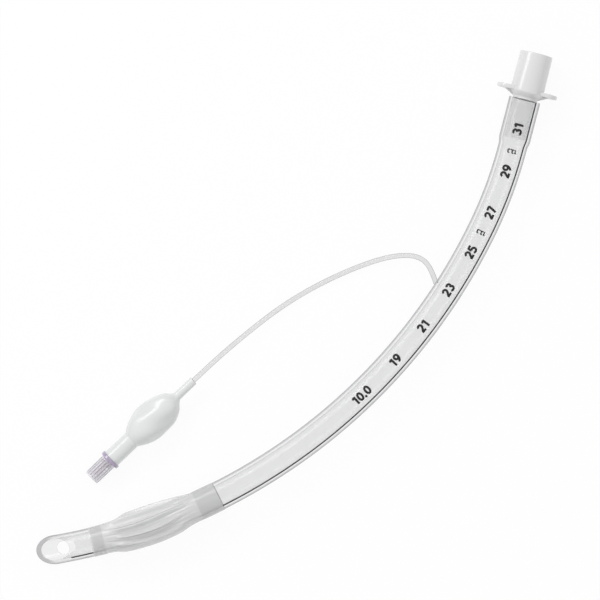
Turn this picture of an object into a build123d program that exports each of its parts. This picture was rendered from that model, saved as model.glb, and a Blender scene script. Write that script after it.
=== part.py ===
"""Cuffed endotracheal tube, lying on a table on its side.

The origin is the centre of the connector's machine end. +X points out of the machine end, along
the connector's axis. The tube runs towards -X and curves towards +Y, and +Z is up. The centreline
of the tube and connector lies in the XY plane. The pilot balloon and its inflation line lie on the
same table, on the concave side.

Stations along the tube are measured in millimetres from its machine end towards the patient tip.
"""
from build123d import *
import math
import os

# Gap left between two bonded or pressed pieces, so that each stays its own solid
glue_gap = 0.03
# How far a cutting shape runs on past the surface that it cuts
over_cut = 1.0

# Main tube: one PVC extrusion
tube_bore = 10.0
tube_outer = 13.3
tube_length = 324.0
first_bend_radius = 200.0
first_bend_length = 40.0
main_bend_radius = 266.7

# Patient end
bevel_length = 18.0
rim_round = 0.45
murphy_eye_length = 8.5
murphy_eye_width = 5.8
murphy_eye_from_tip = 14.2

# Inflation lumen in the wall, on the concave side, and the skive where the line goes in
lumen_diameter = 0.8
lumen_closed_from_tip = 22.0
notch_length = 5.0
notch_width = 1.2
skive_station = 94.5
skive_angle = 50.5
skive_floor = 0.35

# Radiopaque line, co-extruded into the outer face on the convex side
stripe_width = 0.9
stripe_depth = 0.45
stripe_angle = -46.6

# Connector: 15 mm male cone, taper 1 in 40, and a spigot that stretches the tube's end
cone_large_diameter = 15.5
cone_taper = 1.0 / 40.0
cone_length = 16.6
cone_wall = 1.7
connector_edge_round = 0.4
wing_span = 28.0
wing_width = 10.0
wing_thickness = 1.8
skirt_length = 2.2
spigot_outer = 11.5
spigot_bore = 9.4
spigot_engaged = 18.0
tube_stop_gap = 1.0
gusset_reach = 3.6
gusset_thickness = 1.6
gusset_root = 0.2
gusset_toe = 0.3
bore_step_above = 2.0
bore_step_below = 1.0
neck_down_length = 4.0

# Cuff: one blown film sleeve with a collar at each end
cuff_film = 0.22
distal_collar_start = 26.2
distal_collar_end = 32.2
proximal_collar_start = 77.4
proximal_collar_end = 88.0
cuff_folds = 9
cuff_fold_depth = 0.9
# The folds are at most this share as deep as the film rises, and drift round the cuff by this angle
cuff_fold_share = 0.45
cuff_fold_drift = 70.0
# Share of the way between the collars, and how far the folds' crests stand above the collars there
cuff_crest = (
    (0.045, 0.85),
    (0.12, 1.6),
    (0.24, 2.05),
    (0.38, 2.2),
    (0.52, 2.2),
    (0.66, 1.85),
    (0.80, 1.2),
    (0.92, 0.45),
)

# Inflation line
line_outer = 2.3

# Pilot balloon: blown PVC, with a sleeve at each end. Stations run from the line's end to the mouth
neck_sleeve_length = 10.4
neck_sleeve_outer = 4.1
line_insertion = 6.0
balloon_end = 39.0
balloon_wall = 0.5
balloon_rest_height = 5.9
balloon_flatness = 0.76
balloon_outline = (
    (0.04, 2.9),
    (0.11, 5.0),
    (0.225, 6.85),
    (0.385, 8.1),
    (0.55, 8.45),
    (0.72, 8.0),
    (0.86, 6.6),
    (0.96, 5.0),
)
tail_sleeve_outer = 8.4
tail_sleeve_wall = 0.8
tail_sleeve_end = 51.6

# Inflation valve
flange_diameter = 9.8
flange_thickness = 1.6
valve_body_diameter = 7.65
valve_mouth_diameter = 7.4
valve_body_length = 11.1
valve_flute_count = 16
valve_flute_depth = 0.22
valve_flute_width = 0.5
valve_flute_end_gap = 0.8
valve_spigot_length = 8.6
luer_mouth_diameter = 4.3
luer_taper = 0.06
luer_depth = 7.2
seat_thickness = 1.2
throat_diameter = 2.4
chamber_diameter = 5.0
retainer_thickness = 1.4
retainer_hole = 1.8
retainer_slot_width = 0.7
retainer_slot_length = 3.6
seal_diameter = 4.0
seal_thickness = 1.2
stem_diameter = 1.5
stem_head_diameter = 2.3
stem_head_length = 0.7
stem_below_mouth = 2.6
stem_tail = 2.2
stem_tail_diameter = 1.1
stem_disc_diameter = 3.4
stem_disc_thickness = 0.6
spring_outer = 3.4
spring_wire = 0.3
spring_turns = 6

# Where the pilot balloon lies, and which way its axis points on the table
neck_x = -183.2
neck_y = 114.1
unit_heading = 148.1

# Route of the inflation line, between a straight lead out of the skive and one into the neck
# sleeve. Its points were chosen to follow the real line on the table. At each corner the arc takes
# up this share of the shorter run beside it
corner_share = 0.45
skive_lead = 6.0
neck_lead = 13.0
line_route = (
    (-103.2, 26.5, -0.9),
    (-103.1, 33.9, -2.7),
    (-107.4, 44.4, -5.2),
    (-115.9, 57.0, -6.6),
    (-126.9, 70.4, -6.6),
    (-140.2, 83.6, -6.4),
    (-155.6, 95.6, -3.4),
)

# Sizes that follow from the driving dimensions
tube_radius = tube_outer / 2
bore_radius = tube_bore / 2
wall_area = tube_radius**2 - bore_radius**2
spigot_radius = spigot_outer / 2
stretched_bore = spigot_radius + glue_gap
stretched_radius = math.sqrt(stretched_bore**2 + wall_area)
straight_length = spigot_engaged + neck_down_length
cone_large_radius = cone_large_diameter / 2
cone_small_radius = cone_large_radius - cone_length * cone_taper / 2
wing_top_x = -cone_length
wing_bottom_x = wing_top_x - wing_thickness
skirt_x = wing_bottom_x - skirt_length
tube_end_x = skirt_x - tube_stop_gap
spigot_end_x = tube_end_x - spigot_engaged
table_z = -cone_large_radius
main_bend_start = straight_length + first_bend_length
flange_radius = flange_diameter / 2
valve_shoulder = tail_sleeve_end + glue_gap
valve_body_start = valve_shoulder + flange_thickness
valve_mouth = valve_body_start + valve_body_length
luer_floor = valve_mouth - luer_depth
seat_back = luer_floor - seat_thickness
valve_back = valve_shoulder - valve_spigot_length
tail_sleeve_bore = tail_sleeve_outer / 2 - tail_sleeve_wall
valve_spigot_radius = tail_sleeve_bore - glue_gap
retainer_front = valve_back + retainer_thickness
stem_shoulder = seat_back - seal_thickness
collar_bore = tube_radius + glue_gap
collar_radius = collar_bore + cuff_film


def centreline(station):
    """Plane across the tube at a station: z towards the tip, x up, y towards the concave side."""
    x, y, heading = tube_end_x, 0.0, 180.0
    spans = (
        (straight_length, None),
        (first_bend_length, first_bend_radius),
        (math.inf, main_bend_radius),
    )
    left = station
    for length, radius in spans:
        run = min(left, length)
        if radius is None:
            x += run * math.cos(math.radians(heading))
            y += run * math.sin(math.radians(heading))
        else:
            turn = math.degrees(run / radius)
            side = math.radians(heading - 90)
            centre_x = x + radius * math.cos(side)
            centre_y = y + radius * math.sin(side)
            heading -= turn
            side = math.radians(heading - 90)
            x = centre_x - radius * math.cos(side)
            y = centre_y - radius * math.sin(side)
        left -= run
        if left <= 0:
            break
    tangent = (math.cos(math.radians(heading)), math.sin(math.radians(heading)), 0)
    return Plane(origin=(x, y, 0), x_dir=(0, 0, 1), z_dir=tangent)


def along(section, start, end):
    """Carry a cross-section along the tube's centreline from one station to another."""
    spans = (
        (-tube_length, straight_length, None),
        (straight_length, main_bend_start, first_bend_radius),
        (main_bend_start, 2 * tube_length, main_bend_radius),
    )
    body = None
    for span_start, span_end, radius in spans:
        low = max(start, span_start)
        high = min(end, span_end)
        if high - low < 1e-6:
            continue
        across = centreline(low)
        face = across * section
        if radius is None:
            piece = extrude(face, high - low, dir=across.z_dir)
        else:
            centre = across.origin + across.y_dir * radius
            turn = math.degrees((high - low) / radius)
            piece = revolve(face, Axis(centre, (0, 0, -1)), turn)
        body = piece if body is None else body + piece
    return body


def turned(profile, plane=Plane.XZ):
    """Turn a closed half-profile of (station, radius) points about the station axis."""
    outline = make_face(Polyline(*profile, close=True))
    if plane == Plane.XZ:
        return revolve(plane * outline, Axis.X)
    return revolve(plane * outline, Axis(plane.origin, plane.x_dir))


def stretched_solid(end_radius, far_radius):
    """The tube's machine end, round the spigot, with the short taper below it."""
    start_x = tube_end_x
    taper_x = spigot_end_x
    far_x = spigot_end_x - neck_down_length
    return turned(
        (
            (start_x, 0),
            (start_x, end_radius),
            (taper_x, end_radius),
            (far_x, far_radius),
            (far_x, 0),
        )
    )


def tube_solid(end_radius, far_radius, extra=0.0):
    """Outer or inner volume of the whole tube, before the bevel is cut."""
    body = stretched_solid(end_radius, far_radius)
    body += along(Circle(far_radius), straight_length, tube_length + extra)
    return body


def polar(radius, angle):
    """Point in a cross-section: angle 0 is up, +90 is the concave side."""
    return (radius * math.cos(math.radians(angle)), radius * math.sin(math.radians(angle)))


def stripe_bar():
    """The volume that the radiopaque line takes out of the wall. It reaches above the outer face,
    and ends short of the slanted end by twice the rounding of the end's rim."""
    depth_floor = tube_radius - stripe_depth
    top = stretched_radius + over_cut
    bar = Rectangle(top - depth_floor, stripe_width)
    bar = Rot(0, 0, stripe_angle) * Pos((top + depth_floor) / 2, 0) * bar
    slant = bevel_length * (1 + math.cos(math.radians(stripe_angle))) / 2
    return along(bar, -over_cut, tube_length - slant - 2 * rim_round)


def above_table(inset):
    """Everything that is higher above the table than the inset."""
    reach = 4 * tube_length
    upwards = (Align.CENTER, Align.CENTER, Align.MIN)
    return Pos(0, 0, table_z + inset) * Box(reach, reach, tube_length, align=upwards)


def bevel_cutter():
    """Everything beyond the slanted end, which opens upwards."""
    tip = centreline(tube_length)
    low_point = tip.origin - tip.x_dir * tube_radius
    slope = tip.x_dir * bevel_length + tip.z_dir * tube_outer
    plane = Plane(origin=low_point, x_dir=tip.y_dir, z_dir=slope)
    reach = 2 * (bevel_length + tube_outer)
    return plane * Pos(0, 0, reach / 2) * Box(reach, reach, reach)


def eye_cutter():
    """The oval side hole, through the lower wall opposite the bevel."""
    across = centreline(tube_length - murphy_eye_from_tip)
    hole = Plane(origin=across.origin, x_dir=across.z_dir, z_dir=(0, 0, -1))
    slot = SlotOverall(murphy_eye_length, murphy_eye_width)
    return extrude(hole * slot, 2 * tube_radius, dir=(0, 0, -1))


def skive_plane():
    """Plane of the line's buried end, with z along the line as it leaves the wall."""
    across = centreline(skive_station)
    to_machine = across.z_dir * -1
    outward = across.y_dir
    angle = math.radians(skive_angle)
    way = to_machine * math.cos(angle) + outward * math.sin(angle)
    reach = line_outer / 2 * math.cos(angle)
    start = across.origin + outward * (bore_radius + skive_floor + reach)
    return Plane(origin=start, x_dir=(0, 0, 1), z_dir=way)


def lumen_radius():
    """Distance of the inflation lumen from the tube's centreline: the middle of the wall."""
    return (tube_radius + bore_radius) / 2


def make_main_tube():
    tube = tube_solid(stretched_radius, tube_radius)
    tube -= tube_solid(stretched_bore, bore_radius, extra=over_cut)
    tube -= along(Circle(stretched_bore), -over_cut, 0.0)
    tube -= bevel_cutter()
    rim = [e for e in tube.edges() if on_bevel(e)]
    tube = fillet(rim, rim_round)
    tube -= stripe_bar()
    tube -= eye_cutter()
    lumen = Pos(*polar(lumen_radius(), 90)) * Circle(lumen_diameter / 2)
    tube -= along(lumen, skive_station - over_cut, tube_length - lumen_closed_from_tip)
    notch_station = tube_length - (distal_collar_end + proximal_collar_start) / 2
    notch = centreline(notch_station)
    notch_depth = tube_radius - lumen_radius()
    tube -= notch * Pos(0, lumen_radius() + notch_depth) * Box(
        notch_width, 2 * notch_depth, notch_length
    )
    outwards = (Align.CENTER, Align.CENTER, Align.MIN)
    return tube - skive_plane() * Cylinder(line_outer / 2, tube_outer, align=outwards)


def on_bevel(edge):
    """Is this edge on the plane of the slanted end?"""
    tip = centreline(tube_length)
    low_point = tip.origin - tip.x_dir * tube_radius
    slope = (tip.x_dir * bevel_length + tip.z_dir * tube_outer).normalized()
    points = [edge @ t for t in (0.0, 0.3, 0.7, 1.0)]
    return all(abs((p - low_point).dot(slope)) < 1e-3 for p in points)


def make_radiopaque_line():
    return stripe_bar() & tube_solid(stretched_radius, tube_radius)


def make_connector():
    rim_bore = cone_small_radius - cone_wall
    spigot_bore_radius = spigot_bore / 2
    body = turned(
        (
            (0, 0),
            (0, cone_small_radius),
            (wing_top_x, cone_large_radius),
            (wing_bottom_x, cone_large_radius),
            (skirt_x, spigot_radius),
            (spigot_end_x, spigot_radius),
            (spigot_end_x, 0),
        )
    )
    wings = Pos((wing_top_x + wing_bottom_x) / 2, 0, 0) * Box(
        wing_thickness, wing_span - wing_width, wing_width
    )
    for side in (1, -1):
        wing_end = Pos((wing_top_x + wing_bottom_x) / 2, side * (wing_span - wing_width) / 2, 0)
        wings += wing_end * Rot(0, 90, 0) * Cylinder(wing_width / 2, wing_thickness)
        gusset = make_face(
            Polyline(
                (wing_bottom_x, side * (spigot_radius - gusset_root)),
                (wing_bottom_x, side * (cone_large_radius + gusset_reach)),
                (skirt_x, side * (spigot_radius + gusset_toe)),
                (skirt_x, side * (spigot_radius - gusset_root)),
                close=True,
            )
        )
        wings += extrude(gusset, gusset_thickness / 2, both=True)
    body += wings
    rims = [
        e
        for e in body.edges().filter_by(GeomType.CIRCLE)
        if abs(e.center().X) < 1e-6 and e.radius > cone_small_radius - 0.01
    ]
    body = fillet(rims, connector_edge_round)
    body -= turned(
        (
            (over_cut, 0),
            (over_cut, rim_bore),
            (wing_top_x + bore_step_above, rim_bore),
            (wing_bottom_x - bore_step_below, spigot_bore_radius),
            (spigot_end_x - over_cut, spigot_bore_radius),
            (spigot_end_x - over_cut, 0),
        )
    )
    return body


def cuff_section(fraction, rise, inset):
    """Closed outline across the cuff: a circle with soft lengthwise folds."""
    length = proximal_collar_start - distal_collar_end
    station = tube_length - distal_collar_end - fraction * length
    depth = min(cuff_fold_depth, cuff_fold_share * rise)
    drift = cuff_fold_drift * math.sin(3 * fraction)
    points = []
    steps = cuff_folds * 6
    for step in range(steps):
        angle = 360.0 * step / steps
        wave = 0.5 - 0.5 * math.cos(math.radians(cuff_folds * angle + drift))
        points.append(polar(collar_radius + rise - depth * wave - inset, angle))
    return centreline(station) * make_face(Spline(*points, periodic=True))


def cuff_balloon(inset):
    """The folded film's outer volume, or the air inside it."""
    near = tube_length - distal_collar_end
    far = tube_length - proximal_collar_start
    ring = Circle(collar_radius - inset)
    sections = [centreline(near) * ring]
    sections += [cuff_section(f, r, inset) for f, r in cuff_crest]
    sections.append(centreline(far) * ring)
    return loft(sections) & above_table(inset)


def make_cuff():
    collar = Circle(collar_radius)
    start = tube_length - proximal_collar_end
    end = tube_length - distal_collar_start
    cuff = cuff_balloon(0.0)
    cuff += along(collar, start, tube_length - proximal_collar_start)
    cuff += along(collar, tube_length - distal_collar_end, end)
    cuff -= cuff_balloon(cuff_film)
    cuff -= along(Circle(collar_bore), start - over_cut, end + over_cut)
    return cuff


def unit_plane():
    """Frame of the pilot balloon and valve: z from the neck to the mouth, x up, y sideways."""
    half_way = (neck_sleeve_length + balloon_end) / 2
    reach = valve_shoulder - half_way
    drop = balloon_rest_height - flange_radius
    tilt = math.asin(drop / reach)
    heading = math.radians(unit_heading)
    way = Vector(
        math.cos(heading) * math.cos(tilt), math.sin(heading) * math.cos(tilt), -math.sin(tilt)
    )
    neck_z = table_z + balloon_rest_height + half_way * math.sin(tilt)
    up = Vector(0, 0, 1) - way * way.Z
    return Plane(origin=(neck_x, neck_y, neck_z), x_dir=up, z_dir=way)


def line_points():
    """The whole route: the skive and its lead, the chosen points, the lead to the neck and the end."""
    unit = unit_plane()
    skive = skive_plane()
    start = [skive.origin, skive.origin + skive.z_dir * skive_lead]
    end = [unit.origin - unit.z_dir * neck_lead, unit.origin + unit.z_dir * line_insertion]
    return start + [Vector(*p) for p in line_route] + end


def corner_radii(points):
    """The radius of the arc at each corner of the route."""
    radii = []
    for before, corner, after in zip(points, points[1:], points[2:]):
        run_in = corner - before
        run_out = after - corner
        turn = run_in.get_angle(run_out)
        shorter = min(run_in.length, run_out.length)
        radii.append(corner_share * shorter / math.tan(math.radians(turn / 2)))
    return radii


def line_path():
    points = line_points()
    return FilletPolyline(*points, radius=corner_radii(points))


def make_inflation_line():
    skive = skive_plane()
    return sweep(skive * Circle(line_outer / 2), path=line_path())


def balloon_solid(inset):
    """Outer volume of the blown balloon, or the air inside it, pressed flat where it rests."""
    length = balloon_end - neck_sleeve_length
    neck = neck_sleeve_outer / 2 - inset
    tail = tail_sleeve_outer / 2 - inset
    sections = [Pos(0, 0, neck_sleeve_length) * Circle(neck)]
    for fraction, half_width in balloon_outline:
        flatness = 1 - (1 - balloon_flatness) * math.sin(math.pi * fraction)
        half_height = half_width * flatness
        oval = Ellipse(half_height - inset, half_width - inset)
        sections.append(Pos(0, 0, neck_sleeve_length + fraction * length) * oval)
    sections.append(Pos(0, 0, balloon_end) * Circle(tail))
    body = unit_plane() * loft(sections)
    return body & above_table(inset)


def rod(start, end, radius):
    """A round bar on the pilot unit's axis."""
    bar = Cylinder(radius, end - start, align=(Align.CENTER, Align.CENTER, Align.MIN))
    return unit_plane() * Pos(0, 0, start) * bar


def make_pilot_balloon():
    line_seat = line_outer / 2 + glue_gap
    body = balloon_solid(0.0)
    body += rod(0, neck_sleeve_length, neck_sleeve_outer / 2)
    body += rod(balloon_end, tail_sleeve_end, tail_sleeve_outer / 2)
    body -= balloon_solid(balloon_wall)
    body -= rod(-over_cut, neck_sleeve_length + over_cut, line_seat)
    body -= rod(balloon_end - over_cut, tail_sleeve_end + over_cut, tail_sleeve_bore)
    return body


def unit_turned(profile):
    """Turn a closed half-profile of (station, radius) points about the pilot unit's axis."""
    unit = unit_plane()
    side = Plane(origin=unit.origin, x_dir=unit.z_dir, z_dir=unit.y_dir)
    return turned(profile, side)


def make_valve_housing():
    body = unit_turned(
        (
            (valve_back, 0),
            (valve_back, valve_spigot_radius),
            (valve_shoulder, valve_spigot_radius),
            (valve_shoulder, flange_radius),
            (valve_body_start, flange_radius),
            (valve_body_start, valve_body_diameter / 2),
            (valve_mouth, valve_mouth_diameter / 2),
            (valve_mouth, 0),
        )
    )
    luer_floor_radius = (luer_mouth_diameter - luer_depth * luer_taper) / 2
    body -= unit_turned(
        (
            (valve_back - over_cut, 0),
            (valve_back - over_cut, chamber_diameter / 2),
            (seat_back, chamber_diameter / 2),
            (seat_back, throat_diameter / 2),
            (luer_floor, throat_diameter / 2),
            (luer_floor, luer_floor_radius),
            (valve_mouth, luer_mouth_diameter / 2),
            (valve_mouth + over_cut, luer_mouth_diameter / 2),
            (valve_mouth + over_cut, 0),
        )
    )
    flute_length = valve_body_length - 2 * valve_flute_end_gap
    flute = Pos(valve_body_diameter / 2, 0, valve_body_start + valve_body_length / 2) * Box(
        2 * valve_flute_depth, valve_flute_width, flute_length
    )
    for number in range(valve_flute_count):
        body -= unit_plane() * Rot(0, 0, 360 * number / valve_flute_count) * flute
    return body


def make_valve_retainer():
    """Ring pressed into the back of the housing. Its slots let the air past the stem."""
    ring = rod(valve_back, retainer_front, chamber_diameter / 2)
    ring -= rod(valve_back - over_cut, retainer_front + over_cut, retainer_hole / 2)
    slot = Pos(0, 0, (valve_back + retainer_front) / 2) * Box(
        retainer_slot_length, retainer_slot_width, 2 * retainer_thickness
    )
    return ring - unit_plane() * slot


def make_valve_stem():
    """Plunger: a head for the syringe to press, a shank, and a tail that the spring centres on."""
    stem_top = valve_mouth - stem_below_mouth
    head_start = stem_top - stem_head_length
    return unit_turned(
        (
            (stem_shoulder - stem_tail, 0),
            (stem_shoulder - stem_tail, stem_tail_diameter / 2),
            (stem_shoulder - stem_disc_thickness, stem_tail_diameter / 2),
            (stem_shoulder - stem_disc_thickness, stem_disc_diameter / 2),
            (stem_shoulder, stem_disc_diameter / 2),
            (stem_shoulder, stem_diameter / 2),
            (head_start, stem_diameter / 2),
            (head_start, stem_head_diameter / 2),
            (stem_top, stem_head_diameter / 2),
            (stem_top, 0),
        )
    )


def make_valve_seal():
    """Rubber ring on the stem's shoulder. It closes the throat from behind."""
    seal = rod(stem_shoulder, seat_back, seal_diameter / 2)
    return seal - rod(stem_shoulder - over_cut, seat_back + over_cut, stem_diameter / 2)


def make_valve_spring():
    """Steel spring between the retainer and the stem's shoulder."""
    start = retainer_front + spring_wire / 2
    end = stem_shoulder - stem_disc_thickness - spring_wire / 2
    coil_radius = (spring_outer - spring_wire) / 2
    coil = Helix(pitch=(end - start) / spring_turns, height=end - start, radius=coil_radius)
    wire = Plane(origin=coil @ 0, z_dir=coil % 0) * Circle(spring_wire / 2)
    return unit_plane() * Pos(0, 0, start) * sweep(wire, path=coil)


def main():
    os.makedirs("parts", exist_ok=True)
    nodes = {
        "main_tube": make_main_tube,
        "radiopaque_line": make_radiopaque_line,
        "connector": make_connector,
        "cuff": make_cuff,
        "inflation_line": make_inflation_line,
        "pilot_balloon": make_pilot_balloon,
        "valve_housing": make_valve_housing,
        "valve_retainer": make_valve_retainer,
        "valve_stem": make_valve_stem,
        "valve_seal": make_valve_seal,
        "valve_spring": make_valve_spring,
    }
    for name, make in nodes.items():
        export_step(make(), f"parts/{name}.step")
    path = line_path()
    line = make_inflation_line()
    print("inflation line radii, mm:", [round(r, 1) for r in corner_radii(line_points())])
    print("inflation line length, mm:", round(path.length, 1))
    print("inflation line points, mm:", [tuple(round(c, 2) for c in p) for p in line_points()])
    print("line volume over section times length:",
          round(line.volume / (math.pi * (line_outer / 2) ** 2 * path.length), 4))


main()
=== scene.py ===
# %% [markdown]
# # A cuffed endotracheal tube on a white table
#
# This lesson dresses a CAD part for a picture. The CAD file gives the frame: where every piece is
# and how big it is. Here each soft or clear piece is rebuilt as a smooth surface from a formula in
# two parameters, u along the piece and v around it. Then come the printed depth marks, the
# materials, the lights and the camera.
#
# The frame's origin is the centre of the connector's machine end. +X points out of the machine
# end, the tube curves towards +Y, and +Z is up. Blender works in metres, so sizes are written in
# millimetres and multiplied by MM.

# %% Load the frame
import math

import bmesh
import bpy
import numpy as np
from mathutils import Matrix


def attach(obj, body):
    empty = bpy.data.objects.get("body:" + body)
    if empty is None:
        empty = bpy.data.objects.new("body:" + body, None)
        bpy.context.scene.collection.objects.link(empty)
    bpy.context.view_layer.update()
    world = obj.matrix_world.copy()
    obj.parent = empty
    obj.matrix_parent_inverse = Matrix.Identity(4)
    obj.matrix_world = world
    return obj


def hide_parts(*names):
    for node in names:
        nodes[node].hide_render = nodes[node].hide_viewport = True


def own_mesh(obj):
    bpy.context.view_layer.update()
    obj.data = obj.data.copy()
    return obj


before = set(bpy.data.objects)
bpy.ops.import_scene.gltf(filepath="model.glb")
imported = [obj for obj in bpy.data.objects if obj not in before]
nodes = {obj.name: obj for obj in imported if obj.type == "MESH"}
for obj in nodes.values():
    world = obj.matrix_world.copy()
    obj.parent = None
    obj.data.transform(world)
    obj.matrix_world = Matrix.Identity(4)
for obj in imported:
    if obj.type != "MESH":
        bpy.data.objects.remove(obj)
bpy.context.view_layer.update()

MM = 0.001
print("nodes:", ", ".join(sorted(nodes)))

# %% [markdown]
# ## From a grid of points to a mesh
#
# A surface P(u, v) is sampled on a grid of nu by nv points. Grid neighbours become one quad, so the
# face list is index arithmetic on whole arrays. Where the surface closes on itself the last row is
# joined to the first. The signed volume, the sum of a . (b x c) / 6 over the triangles, says
# whether the normals point outwards: a negative volume turns every face round.

# %% Mesh helpers
def grid_faces(nu, nv, close_u, close_v):
    """Quads of a grid: corners (i, j), (i+1, j), (i+1, j+1), (i, j+1), with wrap-round."""
    i = np.arange(nu if close_u else nu - 1)
    j = np.arange(nv if close_v else nv - 1)
    i, j = [a.ravel() for a in np.meshgrid(i, j, indexing="ij")]
    i2, j2 = (i + 1) % nu, (j + 1) % nv
    corners = np.stack([i * nv + j, i2 * nv + j, i2 * nv + j2, i * nv + j2], axis=1)
    steps = np.stack([i, j, i + 1, j, i + 1, j + 1, i, j + 1], axis=1).reshape(-1, 4, 2)
    return corners, steps


def signed_volume(points, quads):
    """V = sum over triangles of a . (b x c) / 6, about the points' mean."""
    p = points - points.mean(axis=0)
    a, b, c, d = (p[quads[:, k]] for k in range(4))
    return float((np.cross(b, c) * a + np.cross(c, d) * a).sum() / 6)


def surface(name, points, close_u=False, close_v=True, uv_scale=(1.0, 1.0)):
    """Object from a grid of points in millimetres. The UV map counts u and v in uv_scale units."""
    nu, nv = points.shape[:2]
    flat = points.reshape(-1, 3) * MM
    quads, steps = grid_faces(nu, nv, close_u, close_v)
    if signed_volume(flat, quads) < 0:
        quads, steps = quads[:, ::-1], steps[:, ::-1]
    mesh = bpy.data.meshes.new(name)
    mesh.from_pydata(flat.tolist(), [], quads.tolist())
    layer = mesh.uv_layers.new(name="along_around")
    uv = steps.reshape(-1, 2) * np.array([uv_scale[0] / nu, uv_scale[1] / nv])
    layer.data.foreach_set("uv", uv.astype(np.float32).ravel())
    mesh.shade_smooth()
    thing = bpy.data.objects.new(name, mesh)
    bpy.context.scene.collection.objects.link(thing)
    return thing


def smooth_curve(x, knots, values):
    """Cubic Hermite through (knots, values), slopes from central differences."""
    knots, values = np.asarray(knots, float), np.asarray(values, float)
    slope = np.gradient(values, knots)
    k = np.clip(np.searchsorted(knots, x) - 1, 0, len(knots) - 2)
    h = knots[k + 1] - knots[k]
    t = np.clip((x - knots[k]) / h, 0, 1)
    return (
        (2 * t**3 - 3 * t**2 + 1) * values[k]
        + (t**3 - 2 * t**2 + t) * h * slope[k]
        + (3 * t**2 - 2 * t**3) * values[k + 1]
        + (t**3 - t**2) * h * slope[k + 1]
    )


def set_slots(thing, place, count):
    """Give every face its material slot, and the mesh `count` slots to be filled later."""
    for _ in range(count):
        thing.data.materials.append(None)
    thing.data.polygons.foreach_set("material_index", place.astype(np.int32).ravel())


def tidy(thing, body, replaces=(), sharp=40):
    """Sharp edges by angle, then which body the piece rides on and which CAD nodes it stands for."""
    thing.data.set_sharp_from_angle(angle=math.radians(sharp))
    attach(thing, body)
    if replaces:
        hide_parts(*replaces)
    print(f"{thing.name}: {len(thing.data.vertices)} points, {len(thing.data.polygons)} faces")
    return thing


# %% [markdown]
# ## The line that everything follows
#
# The tube's centreline is a straight run and two arcs. At a station s, measured from the machine
# end, the tube has turned by theta(s): 0 on the straight, then growing by ds / R. The tangent is
# (-cos theta, sin theta), and integrating it gives the position in closed form. `tube_point` adds a
# cross-section: angle 0 is up, and +90 degrees is the concave side.

# %% Centreline
# Millimetres. BORE, OUTER and the two STRETCHED values are radii.
TUBE_LENGTH, STRAIGHT, FIRST_BEND = 324.0, 22.0, 40.0
FIRST_RADIUS, MAIN_RADIUS = 200.0, 266.7
TUBE_END_X = -21.6
BORE, OUTER = 5.0, 6.65
STRETCHED_BORE, SPIGOT_END = 5.78, 18.0
STRETCHED_OUTER = math.sqrt(STRETCHED_BORE**2 + OUTER**2 - BORE**2)
WALL = OUTER - BORE
BEVEL = 18.0
TABLE_Z = -7.75


def centreline(s):
    """P(s), theta(s): P = P0 + R (-(sin t - sin t0), -(cos t - cos t0)) on an arc from t0."""
    s = np.asarray(s, float)
    s1 = np.clip(s - STRAIGHT, 0, FIRST_BEND)
    s2 = np.maximum(s - STRAIGHT - FIRST_BEND, 0)
    t1 = s1 / FIRST_RADIUS
    t2 = t1 + s2 / MAIN_RADIUS
    x = TUBE_END_X - np.minimum(s, STRAIGHT) - FIRST_RADIUS * np.sin(t1)
    y = FIRST_RADIUS * (1 - np.cos(t1))
    x = x - MAIN_RADIUS * (np.sin(t2) - np.sin(t1))
    y = y - MAIN_RADIUS * (np.cos(t2) - np.cos(t1))
    return x, y, t2


def tube_point(s, radius, angle):
    """Point at a station, a distance from the centreline and an angle round it, in mm."""
    x, y, theta = centreline(s)
    aside = radius * np.sin(angle)
    return np.stack(
        [x + aside * np.sin(theta), y + aside * np.cos(theta), radius * np.cos(angle) + 0 * x], axis=-1
    )


def wall_radii(s):
    """Outer and inner radius: stretched over the spigot, then tapering to the plain tube."""
    share = np.clip((s - SPIGOT_END) / (STRAIGHT - SPIGOT_END), 0, 1)
    share = share * share * (3 - 2 * share)
    outer = STRETCHED_OUTER + (OUTER - STRETCHED_OUTER) * share
    inner = STRETCHED_BORE + (BORE - STRETCHED_BORE) * share
    return outer, inner


TIP_TURN = float(centreline(TUBE_LENGTH)[2])
print("tip at", [round(float(c), 1) for c in tube_point(TUBE_LENGTH, 0.0, 0.0)], "mm")

# %% [markdown]
# ## The tube, its bevel and its side eye
#
# One closed surface makes the whole wall. u goes round the wall's section: out along the outer
# face, over the rim, back along the bore and round the machine end. The slanted end is a plane, so
# a point at height z meets it at the station s = L - B (z + R) / (2 R), with B the bevel's length
# and R the outer radius. On the rim the station is pulled back by rho - sqrt(rho^2 - (rho - d)^2)
# within rho of either edge, which rounds it. The side eye is cut through the lower wall with a
# stadium-shaped prism and a Boolean modifier, applied at once.

# %% Main tube
RIM_ROUND = 0.45
# From this station on, rows lean over step by step until the last one lies in the slanted end
LEAN_FROM = 230.0
# The rim counts as cut plastic where cos(angle) is under this, which leaves its highest part clear
CUT_LIMIT = 0.8
EYE_LENGTH, EYE_WIDTH, EYE_FROM_TIP = 8.5, 5.8, 14.2
EYE_POINTS = 64
OUTER_FACE, CUT_FACE, BORE_FACE = 0, 1, 2


def bevel_station(radius, angle):
    """s = L - B (z + R) / (2 R), with z = radius cos(angle)."""
    return TUBE_LENGTH - BEVEL * (radius * np.cos(angle) + OUTER) / (2 * OUTER)


def rim_points(angle):
    """(u, v) -> radius OUTER - d(u), at the slanted end's station pulled back near both edges."""
    depth = np.linspace(0.02, WALL - 0.02, 16)[:, None]
    near = np.minimum(depth, WALL - depth)
    back = RIM_ROUND - np.sqrt(np.maximum(RIM_ROUND**2 - np.clip(RIM_ROUND - near, 0, None) ** 2, 0))
    radius = OUTER - depth
    return tube_point(bevel_station(radius, angle) - back, radius + 0 * angle, angle + 0 * depth)


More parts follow.
